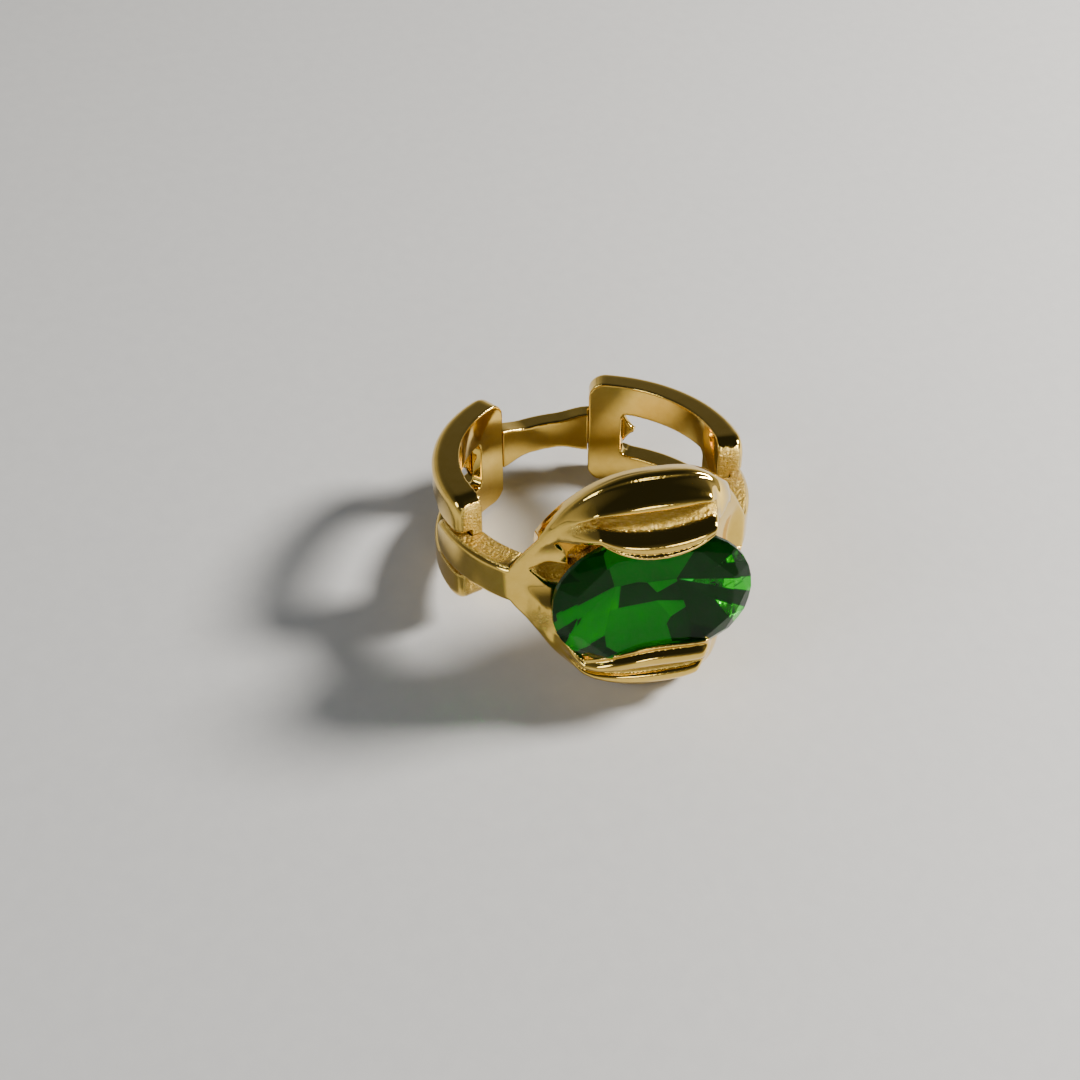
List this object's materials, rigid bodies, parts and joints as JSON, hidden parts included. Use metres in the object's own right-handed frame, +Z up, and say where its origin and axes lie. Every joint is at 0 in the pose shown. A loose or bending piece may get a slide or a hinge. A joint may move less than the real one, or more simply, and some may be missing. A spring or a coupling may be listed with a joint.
{
  "type": "cocktail ring",
  "caption": "Cocktail ring lying on its side: open chain-link shank, folded leaf claws and a large faceted oval green glass stone set slightly askew.",
  "frame": {"origin": "bottom centre of the box round the ring, on the surface that it lies on", "axes": "+Z up from the surface, -Y towards the stone, +Y towards the back of the shank, +X to the right seen from the stone's side; the finger hole runs about 12 degrees off +Z"},
  "size_m": [0.0212, 0.0236, 0.0163],
  "materials": {
    "gold_plate": "gold-plated brass, mirror polished, as cast in the recesses",
    "green_glass": "faceted and polished"
  },
  "bodies": {
    "root": {"left_link": "gold_plate", "right_link": "gold_plate", "back_bridge": "gold_plate", "left_shoulder": "gold_plate", "right_shoulder": "gold_plate", "stone_collar": "gold_plate", "upper_leaf_claw": "gold_plate", "lower_leaf_claw": "gold_plate", "green_stone": "green_glass"}
  },
  "joints": []
}
